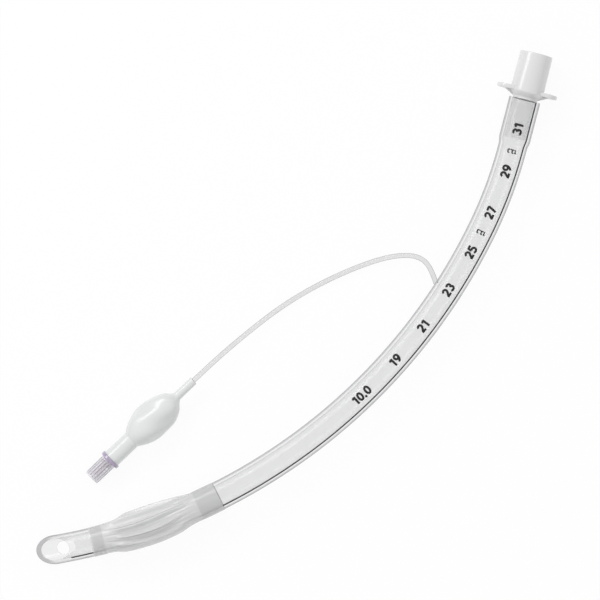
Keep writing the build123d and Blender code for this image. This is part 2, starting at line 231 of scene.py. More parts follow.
def make_tube():
    """(u, v) -> tube_point(s(u, v), R(u), v): the outer face, the rim, then the bore on the way back."""
    around = np.linspace(0, 2 * np.pi, 192, endpoint=False)
    along = np.concatenate([
        np.linspace(0, 17.5, 6), np.linspace(SPIGOT_END, STRAIGHT, 9), np.linspace(24, TUBE_LENGTH, 150),
    ])
    angle = around[None, :]
    outer, inner = wall_radii(along)
    lean = np.clip((along[:, None] - LEAN_FROM) / (TUBE_LENGTH - LEAN_FROM), 0, 1)
    s_out = along[:, None] - lean * (TUBE_LENGTH - bevel_station(OUTER, angle) + RIM_ROUND)
    s_in = along[:, None] - lean * (TUBE_LENGTH - bevel_station(BORE, angle) + RIM_ROUND)
    outside = tube_point(s_out, outer[:, None], angle)
    inside = tube_point(s_in, inner[:, None], angle)[::-1]
    rim = rim_points(angle)
    grid = np.concatenate([outside, rim, inside])
    thing = surface("tube", grid, close_u=True, uv_scale=(650.0, 42.0))
    row = np.arange(grid.shape[0])[:, None] + np.zeros(around.size, int)
    first, last = along.size - 1, along.size - 1 + rim.shape[0]
    on_rim = (row >= first) & (row <= last) & (np.cos(angle) < CUT_LIMIT)
    face = np.where(row > last, BORE_FACE, np.where(on_rim, CUT_FACE, OUTER_FACE))
    set_slots(thing, face, 3)
    return thing


def eye_prism():
    """Stadium pushed straight down through the lower wall: r cos t +- half ahead and r sin t aside."""
    turn = np.linspace(0, 2 * np.pi, EYE_POINTS, endpoint=False)
    half, round_radius = (EYE_LENGTH - EYE_WIDTH) / 2, EYE_WIDTH / 2
    ahead = round_radius * np.cos(turn) + half * np.sign(np.cos(turn))
    aside = round_radius * np.sin(turn)
    x, y, theta = centreline(TUBE_LENGTH - EYE_FROM_TIP)
    px = x - ahead * np.cos(theta) + aside * np.sin(theta)
    py = y + ahead * np.sin(theta) + aside * np.cos(theta)
    heights = (0.0, -12.0)
    rings = [np.stack([px, py, np.full(EYE_POINTS, z)], axis=-1) for z in heights]
    middle = [np.stack([0 * px + x, 0 * py + y, np.full(EYE_POINTS, z)], axis=-1) for z in heights]
    thing = surface("eye_prism", np.stack([middle[0], rings[0], rings[1], middle[1]]))
    set_slots(thing, np.full(len(thing.data.polygons), CUT_FACE), 3)
    return thing


def cut(thing, cutter, how="DIFFERENCE"):
    """Take cutter away from thing, or add it, apply the modifier and remove the cutter."""
    welded = bmesh.new()
    welded.from_mesh(cutter.data)
    bmesh.ops.remove_doubles(welded, verts=welded.verts, dist=1e-7)
    welded.to_mesh(cutter.data)
    welded.free()
    change = thing.modifiers.new("cut", "BOOLEAN")
    change.operation, change.solver, change.object = how, "EXACT", cutter
    graph = bpy.context.evaluated_depsgraph_get()
    graph.update()
    result = bpy.data.meshes.new_from_object(thing.evaluated_get(graph))
    thing.modifiers.clear()
    thing.data = result
    bpy.data.objects.remove(cutter)
    return thing


tube = cut(make_tube(), eye_prism())
tidy(tube, "tube", ["main_tube"], sharp=50)

# %% [markdown]
# ## The radiopaque line
#
# A dark strip lies flush in the tube's outer face at -46.6 degrees, on the convex side. Its section
# is a rounded bar, and v runs round that section: the angle moves by a few degrees either side and
# the radius between the two depths. It stops just short of the slanted end's rounded rim.

# %% Radiopaque line
STRIPE_ANGLE, STRIPE_HALF_WIDTH, PROUD = math.radians(-46.6), 0.4725, 0.03


def make_stripe():
    """(u, v) -> tube_point(s(u), R(s) + proud - depth (1 - cos v) / 2, a0 + half_width sin v / R)."""
    v = np.linspace(0, 2 * np.pi, 16, endpoint=False)[None, :]
    end = bevel_station(OUTER, STRIPE_ANGLE) - 2 * RIM_ROUND
    s = np.linspace(0.4, end, 260)[:, None]
    outer = wall_radii(s)[0]
    depth = np.where(s < SPIGOT_END, 0.45, 0.40)
    radius = outer + PROUD - depth * (1 - np.cos(v)) / 2
    ring = tube_point(s + 0 * v, radius, STRIPE_ANGLE + STRIPE_HALF_WIDTH / outer * np.sin(v))
    first = np.repeat(ring[:1].mean(axis=1, keepdims=True), v.size, axis=1)
    last = np.repeat(ring[-1:].mean(axis=1, keepdims=True), v.size, axis=1)
    return surface("stripe", np.concatenate([first, ring, last]), uv_scale=(310.0, 3.0))


stripe = tidy(make_stripe(), "tube", ["radiopaque_line"])

# %% [markdown]
# ## The cuff
#
# The cuff is a blown film sleeve that has been sucked down on the tube. Between its two collars it
# stands up by a rise h(u), and it falls into lengthwise folds. Each fold is a narrow crest, so the
# wave is a cosine raised to a power, and the crests drift a little round the tube as u grows. Each
# crest has its own start and end, and fine pleats fill the valleys. The underside is pressed flat on
# the table. The film is a closed skin: the outer face, then the inner face on the way back. The
# bonded collars are the faces beyond the folds, and get a slot of their own.

# %% Cuff
def ease(t):
    """3 t^2 - 2 t^3 between 0 and 1."""
    t = np.clip(t, 0, 1)
    return t * t * (3 - 2 * t)


CUFF_END, CUFF_START = TUBE_LENGTH - 26.2, TUBE_LENGTH - 88.0
COLLAR_FAR, COLLAR_NEAR = TUBE_LENGTH - 32.2, TUBE_LENGTH - 77.4
FILM = 0.22
COLLAR = OUTER + 0.03 + FILM
CRESTS = 11


def cuff_radius(s, angle):
    """R = collar + h(f) - d(f) (1 - c(a) e(f)), with crests c = |cos(n a / 2)|^p and each one's span e."""
    f = np.clip((COLLAR_FAR - s) / (COLLAR_FAR - COLLAR_NEAR), 0, 1)
    shares = [0, 0.045, 0.12, 0.24, 0.38, 0.52, 0.66, 0.80, 0.92, 1]
    rises = [0, 0.85, 1.6, 2.05, 2.2, 2.2, 1.85, 1.2, 0.45, 0]
    rise = smooth_curve(f, shares, rises)
    drift = angle + 0.20 * np.sin(3 * f) + 0.08 * np.sin(5 * f + 2 * angle) + 0.06 * np.sin(3 * angle)
    number = np.mod(np.round(CRESTS / 2 * drift / np.pi), CRESTS)
    crest = np.abs(np.cos(CRESTS / 2 * drift)) ** 4.5
    first = 0.06 + 0.14 * (0.5 + 0.5 * np.sin(2.4 * number + 0.7))
    last = 0.97 - 0.22 * (0.5 + 0.5 * np.sin(3.7 * number + 1.0))
    span = ease((f - first) / 0.16 + 0.5) * ease((last - f) / 0.16 + 0.5)
    pleat = 0.5 + 0.5 * np.cos(2 * CRESTS * drift + 5 * f)
    depth = np.minimum(1.6, 0.8 * rise)
    fine = 0.24 * np.minimum(rise, 1.0) * (1 - crest) * pleat
    return COLLAR + rise - depth * (1 - crest * span) - fine


def make_cuff():
    """(u, v) -> tube_point(s(u), R(s, v), v), kept above the table, then the inner face the same way."""
    around = np.linspace(0, 2 * np.pi, 396, endpoint=False)[None, :]
    s = np.concatenate([
        np.linspace(CUFF_END, COLLAR_FAR + 0.2, 10), np.linspace(COLLAR_FAR, COLLAR_NEAR, 110),
        np.linspace(COLLAR_NEAR - 0.2, CUFF_START, 14),
    ])[:, None]
    outside = tube_point(s + 0 * around, cuff_radius(s, around), around + 0 * s)
    inside = tube_point(s + 0 * around, cuff_radius(s, around) - FILM * 0.8, around + 0 * s)
    outside[..., 2] = np.maximum(outside[..., 2], TABLE_Z + 0.01)
    inside[..., 2] = np.maximum(inside[..., 2], TABLE_Z + 0.15)
    grid = np.concatenate([outside, inside[::-1]])
    thing = surface("cuff_film", grid, close_u=True, uv_scale=(124.0, 55.0))
    both = np.concatenate([s.ravel(), s.ravel()[::-1]])
    bonded = (both > COLLAR_FAR) | (both < COLLAR_NEAR)
    set_slots(thing, bonded.repeat(around.size), 2)
    return thing


cuff = tidy(make_cuff(), "tube", ["cuff"], sharp=80)

# %% [markdown]
# ## The inflation line
#
# The line leaves the wall's skive, lies on the table and runs up into the pilot balloon's neck. It
# is a NURBS curve with the route's points as control points, given a round bevel.

# %% Inflation line
ROUTE = [
    (-0.11279, 0.01814, 0.0), (-0.10771, 0.02132, 0.0), (-0.10320, 0.02650, -0.0009),
    (-0.10310, 0.03390, -0.0027), (-0.10740, 0.04440, -0.0052), (-0.11590, 0.05700, -0.0066),
    (-0.12690, 0.07040, -0.0066), (-0.14020, 0.08360, -0.0064), (-0.15560, 0.09560, -0.0034),
    (-0.17217, 0.10724, -0.00045), (-0.18829, 0.11727, -0.00116),
]


def make_line():
    """NURBS of order 3 on the route, which starts and ends on its end points, with a round bevel."""
    curve = bpy.data.curves.new("line", "CURVE")
    curve.dimensions = "3D"
    spline = curve.splines.new("NURBS")
    spline.points.add(len(ROUTE) - 1)
    spline.points.foreach_set("co", np.c_[np.array(ROUTE), np.ones(len(ROUTE))].ravel())
    spline.points.foreach_set("radius", np.full(len(ROUTE), 1.15 * MM))
    spline.order_u = 3
    spline.use_endpoint_u = True
    curve.resolution_u = 60
    curve.bevel_depth = 1.0
    curve.bevel_resolution = 6
    curve.use_fill_caps = True
    thing = bpy.data.objects.new("line", curve)
    bpy.context.scene.collection.objects.link(thing)
    return thing


line = make_line()
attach(line, "tube")
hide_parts("inflation_line")
print("line:", len(ROUTE), "control points")

# %% [markdown]
# ## The pilot balloon
#
# The balloon's axis points from its neck to the valve's mouth, tilted down by the difference
# between the belly's and the flange's radius. Its section is an ellipse whose width follows the
# outline and whose height is pressed by up to a quarter. Four soft flats run along it, as where the
# blown film was folded flat in its pack: the radius is pulled in by a small cos 4v term that grows
# in the middle, and two weaker waves, cos 3v and cos 5v, make them uneven. The tail sleeve and the
# neck sleeve belong to the same skin.

# %% Pilot balloon
HEADING, REST_HEIGHT, HALF_WAY, SHOULDER = math.radians(148.1), 5.9, 24.7, 51.63
TILT = math.asin((REST_HEIGHT - 4.9) / (SHOULDER - HALF_WAY))
WAY = np.array([math.cos(HEADING) * math.cos(TILT), math.sin(HEADING) * math.cos(TILT), -math.sin(TILT)])
NECK = np.array([-183.2, 114.1, TABLE_Z + REST_HEIGHT + HALF_WAY * math.sin(TILT)])
UP = np.array([0, 0, 1.0]) - WAY * WAY[2]
UP /= np.linalg.norm(UP)
SIDE = np.cross(WAY, UP)
NECK_END, BELLY_END, TAIL_END = 10.4, 39.0, 51.6


def unit_point(t, up, side):
    """Point on the pilot unit: t along the axis from the neck, then up and sideways, in mm."""
    t, up, side = np.broadcast_arrays(t, up, side)
    return NECK + t[..., None] * WAY + up[..., None] * UP + side[..., None] * SIDE


def make_balloon():
    """(u, v) -> up = h(u) k cos v, side = w(u) k sin v, with k(u, v) the flats, out and then inset."""
    v = np.linspace(0, 2 * np.pi, 144, endpoint=False)[None, :]
    shares = np.array([0, 0.04, 0.11, 0.225, 0.385, 0.55, 0.72, 0.86, 0.96, 1])
    widths = [2.05, 2.9, 5.0, 6.85, 8.1, 8.45, 8.0, 6.6, 5.0, 4.2]
    t = np.concatenate([np.linspace(0, NECK_END - 0.3, 10), np.linspace(NECK_END, BELLY_END, 90),
                        np.linspace(BELLY_END + 0.3, TAIL_END, 14)])[:, None]
    f = np.clip((t - NECK_END) / (BELLY_END - NECK_END), 0, 1)
    width = smooth_curve(f, shares, widths)
    swell = np.sin(np.pi * f)
    height = width * (1 - 0.24 * swell)
    soft = 1 - 0.06 * swell * (1 - np.cos(4 * v + 0.5)) / 2 - 0.03 * swell * np.cos(3 * v + 6 * f)
    soft = soft - 0.025 * swell * np.cos(5 * v - 11 * f + 1.0)

    def skin(inset):
        out = unit_point(t, (height * soft - inset) * np.cos(v), (width * soft - inset) * np.sin(v))
        out[..., 2] = np.maximum(out[..., 2], TABLE_Z + 0.01 + inset)
        return out

    wall = np.where(f <= 0, 0.85, np.where(f >= 1, 0.8, 0.5))
    grid = np.concatenate([skin(0), skin(wall)[::-1]])
    return surface("balloon", grid, close_u=True, uv_scale=(110.0, 50.0))


balloon = tidy(make_balloon(), "tube", ["pilot_balloon"], sharp=60)


# %% [markdown]
# ## The valve's housing, a turned piece
#
# A turned piece is a closed loop of (t, r) points carried round an axis: P(t, r, v) = t along the
# axis, r cos v up and r sin v sideways. `rounded` softens the loop's corners first: each corner is
# replaced by a short arc, drawn as a quadratic Bezier curve between points a little way along its
# two sides. The housing's flutes are a change of radius, a narrow groove repeated round v.

# %% Valve housing
def rounded(loop, reach, steps=5):
    """Corner q between p and r becomes (1-t)^2 a + 2 t (1-t) q + t^2 b, a and b near q."""
    loop = np.asarray(loop, float)
    before, after = np.roll(loop, 1, axis=0), np.roll(loop, -1, axis=0)
    size_a = np.linalg.norm(before - loop, axis=1, keepdims=True)
    size_b = np.linalg.norm(after - loop, axis=1, keepdims=True)
    reach = np.minimum(reach, 0.45 * np.minimum(size_a, size_b))
    a = loop + (before - loop) * reach / size_a
    b = loop + (after - loop) * reach / size_b
    t = np.linspace(0, 1, steps)[None, :, None]
    curve = (1 - t) ** 2 * a[:, None] + 2 * t * (1 - t) * loop[:, None] + t**2 * b[:, None]
    return curve.reshape(-1, 2)


# Stations along the pilot unit's axis, then radii, in mm
VALVE_START, FLANGE_END, SEAT_BACK, SEAT_FRONT, VALVE_MOUTH = 43.03, 53.23, 55.93, 57.13, 64.33
CHAMBER, STEM_SLEEVE, FLANGE, FLUTED, SEAT_BORE = 2.52, 3.37, 4.9, 3.83, 1.22
FLUTES, FLUTE_DEPTH = 16, 0.22
CLEAR_BODY, TINTED_FLANGE, GROOVE_SHADE = 0, 1, 2


def make_valve_housing():
    """(u, v) -> t(u) along the axis, r cos v up, r sin v sideways, r = r(u) - d max(cos n v, 0)^3."""
    v = np.linspace(0, 2 * np.pi, 192, endpoint=False)[None, :]
    loop = rounded([
        (VALVE_START, CHAMBER), (VALVE_START, STEM_SLEEVE), (SHOULDER, STEM_SLEEVE), (SHOULDER, FLANGE),
        (FLANGE_END, FLANGE), (FLANGE_END, FLUTED), (54.1, 3.825), (63.4, 3.70), (VALVE_MOUTH, 3.68),
        (VALVE_MOUTH, 2.15), (SEAT_FRONT, 1.93), (SEAT_FRONT, SEAT_BORE), (SEAT_BACK, SEAT_BORE),
        (SEAT_BACK, CHAMBER),
    ], 0.22)
    t, radius = loop[:, 0][:, None], loop[:, 1][:, None]
    share = np.clip((t - 53.9) / 0.5, 0, 1) * np.clip((63.7 - t) / 0.5, 0, 1) * (radius > 3.5)
    groove = np.maximum(np.cos(FLUTES * v), 0) ** 3
    radius = radius - FLUTE_DEPTH * share * groove
    points = unit_point(t + 0 * v, radius * np.cos(v), radius * np.sin(v))
    thing = surface("valve_body", points, close_u=True, uv_scale=(40.0, 24.0))
    flange = (t < 53.4) & (radius[:, :1] > 3.4)
    # The flutes' groove faces get a darker colour of their own: painted shade in the recesses.
    groove_shade_faces = (share > 0.5) & (groove > 0.25)
    set_slots(thing, np.where(groove_shade_faces, GROOVE_SHADE, np.where(flange, TINTED_FLANGE, CLEAR_BODY)), 3)
    return thing


housing = tidy(make_valve_housing(), "tube", ["valve_housing"], sharp=60)

# %% [markdown]
# ## The valve's spring
#
# The spring is a helix that gets shorter when the valve is pressed, so it is a surface of its own.
# Its ends and its radius are read from the CAD node: the part of each point along the axis, and
# its distance from it. The wire's circle sits across the helix, between the outward direction e
# and b = T x e, with T the tangent.

# %% Spring
SPRING_TURNS, SPRING_WIRE, VALVE_TRAVEL = 6, 0.3, 1.8


def spring_reach(thing):
    """First and last t along the axis, and the largest radius, of a CAD node's points in mm."""
    flat = np.zeros(3 * len(thing.data.vertices), np.float32)
    thing.data.vertices.foreach_get("co", flat)
    turn = np.array(thing.matrix_world)
    away = (flat.reshape(-1, 3) @ turn[:3, :3].T + turn[:3, 3]) / MM - NECK
    t = away @ WAY
    return t.min(), t.max(), np.linalg.norm(away - t[:, None] * WAY, axis=1).max()


def make_spring(first, last, reach):
    """C(u) + w (cos v e + sin v b), C(u) on a helix of radius reach - w, w half the wire."""
    half = SPRING_WIRE / 2
    coil = reach - half
    u = np.linspace(0, 1, 24 * SPRING_TURNS + 1)
    v = np.linspace(0, 2 * np.pi, 12, endpoint=False)[:, None]
    turn = 2 * np.pi * SPRING_TURNS * u
    rise = last - first - SPRING_WIRE
    middle = unit_point(first + half + rise * u, coil * np.cos(turn), coil * np.sin(turn))
    outward = np.cos(turn)[:, None] * UP + np.sin(turn)[:, None] * SIDE
    onward = np.cos(turn)[:, None] * SIDE - np.sin(turn)[:, None] * UP
    tangent = 2 * np.pi * SPRING_TURNS * coil * onward + rise * WAY
    tangent /= np.linalg.norm(tangent, axis=1, keepdims=True)
    across = np.cross(tangent, outward)
    ring = middle[:, None] + half * (np.cos(v) * outward[:, None] + np.sin(v) * across[:, None])
    ends = [np.repeat(middle[k][None, None], v.size, axis=1) for k in (0, -1)]
    return surface("spring_wire", np.concatenate([ends[0], ring, ends[1]]), uv_scale=(60.0, 1.0))


spring_first, spring_last, spring_radius = spring_reach(nodes["valve_spring"])
spring = make_spring(spring_first, spring_last, spring_radius)
tidy(spring, "tube", ["valve_spring"], sharp=60)
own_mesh(spring)

# %% [markdown]
# The line is a limp cord that lies on the table. What hangs on its far end is named with it.

# %% [markdown]
# ## The connector
#
# The connector is a turned body with a tapered cone and a spigot. A stadium-shaped plate makes the
# two wings, and a thin web stands under each. The pieces are joined by exact Booleans.

# %% Connector
# Places along X, then radii, in mm
WING_FRONT, WING_BACK, NECK_BACK, SPIGOT_TIP = -16.6, -18.4, -20.6, -39.6
MOUTH_BORE, MOUTH_RADIUS, CONE_BASE, SPIGOT_RADIUS, SPIGOT_BORE = 5.90, 7.54, 7.75, 5.75, 4.7
WING_REACH, WING_HALF_HEIGHT, WEB_REACH, WEB_HALF = 9.0, 5.0, 10.2, 0.8


def make_connector():
    """(u, v) -> (x(u), r(u) sin v, r(u) cos v), round the frame's X axis."""
    v = np.linspace(0, 2 * np.pi, 128, endpoint=False)[None, :]
    loop = rounded([
        (0, MOUTH_BORE), (0, MOUTH_RADIUS), (WING_FRONT, CONE_BASE), (WING_BACK, CONE_BASE),
        (NECK_BACK, SPIGOT_RADIUS), (TUBE_END_X - 0.1, SPIGOT_RADIUS), (SPIGOT_TIP, SPIGOT_RADIUS),
        (SPIGOT_TIP, SPIGOT_BORE), (-19.4, SPIGOT_BORE), (-14.6, 5.84),
    ], 0.42)
    x, radius = loop[:, 0][:, None] + 0 * v, loop[:, 1][:, None] + 0 * v
    points = np.stack([x, radius * np.sin(v), radius * np.cos(v)], axis=-1)
    return surface("connector_body", points, close_u=True, uv_scale=(90.0, 48.0))


def wing_plate():
    """Stadium plate 28 by 10 by 1.8 mm with soft edges, u over its thickness and v round it."""
    turn = np.linspace(0, 2 * np.pi, 96, endpoint=False)[None, :]
    corner = [(0.0, WING_HALF_HEIGHT), (0.0, 0.4), (0.15, 0.1), (0.45, 0.0)]
    back = [(WING_BACK + x, WING_HALF_HEIGHT - short) for x, short in corner]
    front = [(WING_FRONT - x, WING_HALF_HEIGHT - short) for x, short in corner[::-1]]
    edge = np.array(back + front)
    x, reach = edge[:, 0][:, None] + 0 * turn, edge[:, 1][:, None]
    half = np.where(reach > 0, WING_REACH, 0.0)
    y = reach * np.cos(turn) + half * np.sign(np.round(np.cos(turn), 9))
    return surface("wing_plate", np.stack([x, y, reach * np.sin(turn)], axis=-1))


def gusset(side):
    """Thin triangular web under a wing: one outline at two heights, closed to its middles."""
    outline = np.array([
        (-18.0, 5.4), (-18.0, WEB_REACH), (WING_BACK, WEB_REACH), (NECK_BACK, 6.05), (NECK_BACK, 5.4),
    ])
    x, y = outline[:, 0], side * outline[:, 1]
    ring = [np.stack([x, y, 0 * x + z], axis=-1) for z in (-WEB_HALF, WEB_HALF)]
    middle = [np.repeat(r.mean(axis=0)[None, :], len(outline), axis=0) for r in ring]
    return surface("gusset", np.stack([middle[0], ring[0], ring[1], middle[1]]))


def join_on(thing, part):
    """Union of two closed pieces with an exact Boolean, applied at once."""
    return cut(thing, part, "UNION")


connector = join_on(make_connector(), wing_plate())
for side in (1, -1):
    connector = join_on(connector, gusset(side))
tidy(connector, "tube", ["connector"], sharp=35)

# %% [markdown]
# ## Printed marks
#
# Every 20 mm the tube carries its distance from the tip, in centimetres. Its bore and its outside
# diameter, in millimetres, are printed as well. Each digit is a few strokes on a card one unit
# high, straight runs and arcs, and each stroke becomes a ribbon: the line's points are pushed aside
# by half the ink's width along its normal, both ways. The card is then wrapped on the tube: x along
# the text becomes the station, and y becomes an angle, y / R. The ink stands 0.03 mm off the wall.

# %% Digit strokes
def arc(x, y, rx, ry, start, end, n=22):
    """Points (x + rx cos t, y + ry sin t) for t from start to end, in degrees."""
    t = np.radians(np.linspace(start, end, n))
    return np.stack([x + rx * np.cos(t), y + ry * np.sin(t)], axis=-1)


def run(*corners, n=9):
    """Straight runs through the corners, each cut into n steps."""
    corners = np.asarray(corners, float)
    t = np.linspace(0, 1, n)[:, None]
    return np.concatenate([a + (b - a) * t for a, b in zip(corners[:-1], corners[1:])])


def digit_strokes():
    """Strokes of each digit that the tube carries, on a card 0.66 wide and 1 high."""
    top_bowl = arc(0.31, 0.70, 0.21, 0.20, 150, -60)
    nine = arc(0.33, 0.66, 0.23, 0.24, 0, 360, 40)
    return {
        "0": [arc(0.33, 0.5, 0.23, 0.40, 0, 360, 48)],
        "1": [run((0.06, 0.74), (0.36, 0.90)), run((0.36, 0.94), (0.36, 0.0))],
        "2": [np.concatenate([arc(0.32, 0.66, 0.22, 0.24, 165, -35), run((0.50, 0.52), (0.12, 0.10))]),
              run((0.06, 0.10), (0.60, 0.10))],
        "3": [np.concatenate([top_bowl, arc(0.30, 0.32, 0.25, 0.22, 75, -155)])],
        "5": [run((0.56, 0.90), (0.16, 0.90), (0.12, 0.50)), arc(0.30, 0.33, 0.25, 0.24, 128, -150)],
        "7": [run((0.04, 0.90), (0.56, 0.90)), run((0.54, 0.90), (0.22, 0.0))],
        "9": [nine, arc(0.04, 0.64, 0.52, 0.58, 0, -72)],
        ".": [arc(0.10, 0.08, 0.03, 0.03, 0, 360, 12)],
    }


def ribbon(points, half, levels=5):
    """Both sides of a stroke and the lines between them: P + w N, for w from -half to half."""
    keep = np.r_[True, np.linalg.norm(np.diff(points, axis=0), axis=1) > 1e-6]
    points = points[keep]
    way = np.gradient(points, axis=0)
    way /= np.linalg.norm(way, axis=1, keepdims=True)
    normal = np.stack([-way[:, 1], way[:, 0]], axis=-1)
    across = np.linspace(-half, half, levels)
    return points[:, None, :] + normal[:, None, :] * across[None, :, None]


def printed(name, words, station, height, ink_width=0.25, across=False):
    """Wrap words: s = station - h x, angle = h y / R. Across: s = station + h y, angle = h x / R."""
    strokes = digit_strokes()
    widths = np.array([0.30 if c == "." else (0.60 if c == "1" else 0.72) for c in words])
    starts = np.concatenate([[0], np.cumsum(widths)[:-1]]) - widths.sum() / 2
    points, faces, used = [], [], 0
    for letter, left in zip(words, starts):
        for stroke in strokes[letter]:
            card = ribbon(stroke, ink_width / 2) + np.array([left + 0.03, -0.5])
            s = station + height * (card[..., 1] if across else -card[..., 0])
            outer = wall_radii(s)[0]
            angle = height * (card[..., 0] if across else card[..., 1]) / outer
            points.append(tube_point(s, outer + PROUD, angle).reshape(-1, 3) * MM)
            faces.append(grid_faces(card.shape[0], card.shape[1], False, False)[0] + used)
            used += card.shape[0] * card.shape[1]
    points, faces = np.concatenate(points), np.concatenate(faces)
    a, b, c = (points[faces[:, k]] for k in range(3))
    down = np.cross(b - a, c - a)[:, 2] < 0
    faces[down] = faces[down][:, ::-1]
    mesh = bpy.data.meshes.new(name)
    mesh.from_pydata(points.tolist(), [], faces.tolist())
    mesh.shade_smooth()
    thing = bpy.data.objects.new(name, mesh)
    bpy.context.scene.collection.objects.link(thing)
    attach(thing, "tube")
    return thing


# %% Depth marks
LARGE, SMALL = 4.3, 1.9
marks = [printed(f"mark_{cm}", str(cm), TUBE_LENGTH - 10 * cm, LARGE) for cm in range(19, 33, 2)]
marks.append(printed("bore_mark", "10.0", 156.0, LARGE))
marks.append(printed("outside_mark_1", "13.3", 24.5, SMALL, ink_width=0.3, across=True))
marks.append(printed("outside_mark_2", "13.3", 64.0, SMALL, ink_width=0.3, across=True))
print("marks:", ", ".join(m.name for m in marks))

# %% [markdown]
# ## Materials
#
# Colours are written as sRGB hex, as a painter reads them, and turned linear by one function. The
# helper `node` adds a shader node, sets its inputs and links them. Pattern sizes are real: object
# coordinates are in metres, so a noise scale of 1 / size gives features of that size.
#
# A clear wall is a thin pane: a share alpha of it is grey plastic, and the rest lets the white table
# through. Edge on, a ray crosses more wall, so alpha climbs there and draws the tube's outline. The
# cut rim is rougher and greyer, and clears up a few millimetres back from the tip.

# %% Material helpers
def colour(code):
    """sRGB hex to linear: c / 12.92 below 0.04045, else ((c + 0.055) / 1.055) ** 2.4."""
    c = np.array([int(code[k : k + 2], 16) / 255 for k in (0, 2, 4)])
    c = np.where(c <= 0.04045, c / 12.92, ((c + 0.055) / 1.055) ** 2.4)
    return (*c.tolist(), 1.0)


def node(tree, kind, settings=None, **inputs):
    """Add a node. An input, by name or as i0, i1, is a value or a (node, output name) pair to link from."""
    made = tree.nodes.new(kind)
    for key, value in (settings or {}).items():
        setattr(made, key, value)
    for key, value in inputs.items():
        by_number = key[0] == "i" and key[1:].isdigit()
        socket = made.inputs[int(key[1:]) if by_number else key.replace("_", " ")]
        if isinstance(value, tuple) and hasattr(value[0], "outputs"):
            tree.links.new(value[0].outputs[value[1]], socket)
        else:
            socket.default_value = value
    return made


def moulded(name, code, rough, ior=1.5, alpha=1.0, edge=None, grain=2.0, depth=0.0, coat=0.0, vary=0.03):
    """Plastic with a fine grain: noise of the given size in mm bumps it and varies its roughness.
    A clear wall is a thin pane that lets the share 1 - alpha through. Seen edge on, light crosses
    more of the wall, so its alpha climbs to edge[0] while the facing goes from edge[1] to edge[2]."""
    made = bpy.data.materials.new(name)
    made.use_nodes = True
    tree = made.node_tree
    tree.nodes.clear()
    where = node(tree, "ShaderNodeTexCoord")
    noise = node(tree, "ShaderNodeTexNoise", Vector=(where, "Object"), Scale=1.0 / (grain * MM), Detail=3.0)
    spread = node(tree, "ShaderNodeMapRange", Value=(noise, "Fac"), From_Min=0.3, From_Max=0.7,
                  To_Min=rough - vary, To_Max=rough + vary)
    shader = node(tree, "ShaderNodeBsdfPrincipled", Roughness=(spread, "Result"), IOR=ior, Alpha=alpha)
    shader.inputs["Base Color"].default_value = colour(code)
    shader.inputs["Coat Weight"].default_value = coat
    shader.inputs["Coat Roughness"].default_value = 0.12
    if depth:
        bump = node(tree, "ShaderNodeBump", Height=(noise, "Fac"), Strength=0.35, Distance=depth * MM)
        tree.links.new(bump.outputs["Normal"], shader.inputs["Normal"])
    if edge:
        facing = node(tree, "ShaderNodeLayerWeight", Blend=0.5)
        dense = node(tree, "ShaderNodeMapRange", Value=(facing, "Facing"),
                     From_Min=edge[1], From_Max=edge[2], To_Min=alpha, To_Max=edge[0])
        tree.links.new(dense.outputs["Result"], shader.inputs["Alpha"])
    node(tree, "ShaderNodeOutputMaterial", Surface=(shader, "BSDF"))
    return made


def fade_back(material, point, way, near, far, least):
    """Let alpha fall to `least` between two distances in mm, measured from a point against a direction."""
    tree = material.node_tree
    shader = tree.nodes["Principled BSDF"]
    where = node(tree, "ShaderNodeTexCoord")
    along = node(tree, "ShaderNodeVectorMath", {"operation": "DOT_PRODUCT"},
                 i0=(where, "Object"), i1=tuple(way))
    start = float(np.dot(point, way)) * MM
    fall = node(tree, "ShaderNodeMapRange", {"interpolation_type": "SMOOTHSTEP"}, Value=(along, "Value"),
                From_Min=start - far * MM, From_Max=start - near * MM,
                To_Min=least, To_Max=shader.inputs["Alpha"].default_value)
    tree.links.new(fall.outputs["Result"], shader.inputs["Alpha"])


clear_pvc = moulded(
    "clear_pvc", "9A9B9E", 0.07, ior=2.4, alpha=0.10, edge=(0.8, 0.42, 0.75), grain=20.0, vary=0.0,
)
bore_pvc = moulded(
    "clear_pvc_bore", "A2A3A6", 0.08, ior=2.4, alpha=0.10, edge=(0.35, 0.4, 0.9), grain=20.0, vary=0.0,
)
cut_pvc = moulded("cut_rim_pvc", "A8A8AB", 0.4, alpha=0.75, grain=0.6, depth=0.01)
barium_pvc = moulded("radiopaque_pvc", "3E3E42", 0.35, grain=0.5, depth=0.01)
film_pvc = moulded("cuff_film_pvc", "FBFBFB", 0.22, alpha=0.45, grain=3.0, depth=0.01, coat=1.0)
bonded_pvc = moulded("bonded_film_pvc", "E8E8E9", 0.4, alpha=0.45, grain=3.0, coat=0.8)
milky_pvc = moulded("blown_milky_pvc", "E0E3E2", 0.3, grain=6.0, coat=0.45)
line_pvc = moulded("line_pvc", "A6A6AA", 0.1, ior=2.0, alpha=0.22, edge=(0.8, 0.3, 0.8), vary=0.0)
frosted_pp = moulded("frosted_polypropylene", "DFDFDF", 0.36, coat=0.7)
# The spigot inside the tube wears a lighter, nearly clear copy of the frosted connector plastic: painted
# light that offsets the shade of the tube's wall on it.
spigot_painted_light_pp = moulded("spigot_polypropylene_painted_light", "F2F2F2", 0.36, alpha=0.1)
valve_clear = moulded(
    "clear_valve_abs", "E6E3EA", 0.12, alpha=0.45, edge=(0.75, 0.3, 0.85), grain=1.0, coat=1.0, vary=0.02,
)
valve_tint = moulded("tinted_flange_abs", "B5A6C2", 0.12, alpha=0.85, grain=1.0, coat=1.0, vary=0.02)
